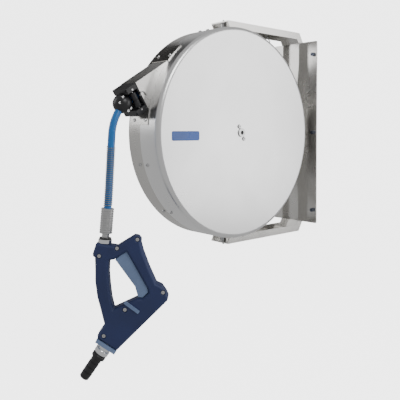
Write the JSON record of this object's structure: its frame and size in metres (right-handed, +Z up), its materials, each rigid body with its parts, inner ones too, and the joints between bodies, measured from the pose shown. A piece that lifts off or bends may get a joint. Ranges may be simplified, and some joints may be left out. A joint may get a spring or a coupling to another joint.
{
  "type": "hose reel",
  "caption": "Enclosed stainless wash-down hose reel on a swivelling wall bracket, with a roller mouth, ball stop and hand spray gun on the hose.",
  "frame": {"origin": "middle of the wall plate's back face, the surface that meets the wall", "axes": "+X along the drum axis towards the labelled cover, +Y into the wall, +Z up"},
  "size_m": [0.1939, 0.6672, 0.7874],
  "materials": {
    "stainless": "satin stainless sheet",
    "stainless_bright": "fine ground stainless sheet",
    "zinc_screw": "bluish zinc",
    "steel": "machined steel",
    "chrome": "polished chrome",
    "brass": "machined brass",
    "black_plastic": "moulded black plastic",
    "black_rubber": "satin",
    "blue_hose": "smooth blue rubber cover",
    "navy": "soft navy cover",
    "grey_blue": "moulded grey-blue plastic",
    "label": "plain blue label",
    "spring_steel": "spring steel"
  },
  "bodies": {
    "yoke": {"wall_plate": "stainless", "backing_strip": "stainless", "wall_screws": "zinc_screw", "upright_channel": "stainless", "yoke_arms": "stainless", "pivot_pins": "steel", "spacer_sleeves": "steel", "wire_hook": "spring_steel"},
    "case": {"near_cover": "stainless_bright", "far_cover": "stainless", "joint_straps": "stainless", "case_screws": "steel", "pivot_sockets": "steel", "side_label": "label", "hood": "stainless", "small_screws": "steel", "roller_head": "black_plastic", "roller_pins": "steel", "head_clip": "spring_steel", "axle": "steel", "hub_screws": "steel", "axle_nut": "steel", "inlet_elbow": "brass", "hose_lead": "blue_hose", "ball_stop": "black_rubber", "free_hose": "blue_hose", "spring_guard": "spring_steel", "hose_ferrule": "steel", "swivel_tail": "steel", "swivel_ring": "black_plastic", "pawl_spring": "spring_steel"},
    "drum": {"drum_barrel": "stainless", "drum_flanges": "stainless", "bearing_bushes": "black_plastic", "wound_hose": "blue_hose", "rotary_union": "brass", "hose_tail_fitting": "steel", "hose_tail": "blue_hose", "spring_can": "stainless", "rewind_spring": "spring_steel", "ratchet_wheel": "steel"},
    "pawl": {"pawl": "steel"},
    "roller_top": {"roller_top": "black_plastic"},
    "roller_bottom": {"roller_bottom": "black_plastic"},
    "roller_near": {"roller_near": "black_plastic"},
    "roller_far": {"roller_far": "black_plastic"},
    "gun": {"gun_shell_near": "navy", "gun_shell_far": "navy", "gun_screws": "steel", "swivel_nut": "chrome", "water_pipe": "brass", "valve_body": "brass", "trigger_pin": "steel", "end_plate": "grey_blue", "outlet_coupling": "chrome"},
    "trigger": {"trigger": "grey_blue"},
    "valve_stem": {"valve_stem": "steel"},
    "lock_slider": {"lock_slider": "grey_blue"},
    "release_collar": {"release_collar": "black_rubber"},
    "nozzle": {"nozzle": "black_rubber"}
  },
  "joints": [
    {"name": "case_swivel", "type": "hinge", "parent": "yoke", "child": "case", "pos_m": [0, -0.279, 0], "axis": [0, 0, 1], "range_deg": [-90, 90]},
    {"name": "drum_spin", "type": "hinge", "parent": "case", "child": "drum", "pos_m": [0, -0.279, 0], "axis": [1, 0, 0], "continuous": true},
    {"name": "pawl_rock", "type": "hinge", "parent": "case", "child": "pawl", "pos_m": [0.042, -0.201, -0.03], "axis": [1, 0, 0], "range_deg": [-10, 10], "stiffness_Nm_per_rad": 0.02},
    {"name": "roller_top_spin", "type": "hinge", "parent": "case", "child": "roller_top", "pos_m": [0, -0.56659, 0.09024], "axis": [1, 0, 0], "continuous": true},
    {"name": "roller_bottom_spin", "type": "hinge", "parent": "case", "child": "roller_bottom", "pos_m": [0, -0.54217, 0.05008], "axis": [1, 0, 0], "continuous": true},
    {"name": "roller_near_spin", "type": "hinge", "parent": "case", "child": "roller_near", "pos_m": [0.0194, -0.55438, 0.07016], "axis": [0, -0.5195, 0.8545], "continuous": true},
    {"name": "roller_far_spin", "type": "hinge", "parent": "case", "child": "roller_far", "pos_m": [-0.0194, -0.55438, 0.07016], "axis": [0, -0.5195, 0.8545], "continuous": true},
    {"name": "gun_swivel", "type": "hinge", "parent": "case", "child": "gun", "pos_m": [-0.0006, -0.61767, -0.225], "axis": [0.0541, 0.0608, 0.9967], "continuous": true},
    {"name": "trigger_pull", "type": "hinge", "parent": "gun", "child": "trigger", "pos_m": [0.02524, -0.58859, -0.2422], "axis": [0.7475, -0.6643, 0], "range_deg": [0, 9], "stiffness_Nm_per_rad": 1.5, "springref_deg": -6.88},
    {"name": "valve_lift", "type": "slide", "parent": "gun", "child": "valve_stem", "axis": [0.376, 0.4231, 0.8244], "range_m": [0, 0.006]},
    {"name": "lock_slide", "type": "slide", "parent": "gun", "child": "lock_slider", "axis": [0.5361, 0.6032, -0.5905], "range_m": [0, 0.005]},
    {"name": "collar_release", "type": "slide", "parent": "gun", "child": "release_collar", "axis": [0.376, 0.4231, 0.8244], "range_m": [0, 0.0025], "stiffness_N_per_m": 500, "springref_m": -0.004},
    {"name": "nozzle_twist", "type": "hinge", "parent": "gun", "child": "nozzle", "pos_m": [-0.00027, -0.6173, -0.4408], "axis": [-0.376, -0.4231, -0.8244], "range_deg": [0, 90]}
  ],
  "couplings": [
    {"joint": "valve_lift", "follows": "trigger_pull", "m_per_rad": 0.038}
  ]
}
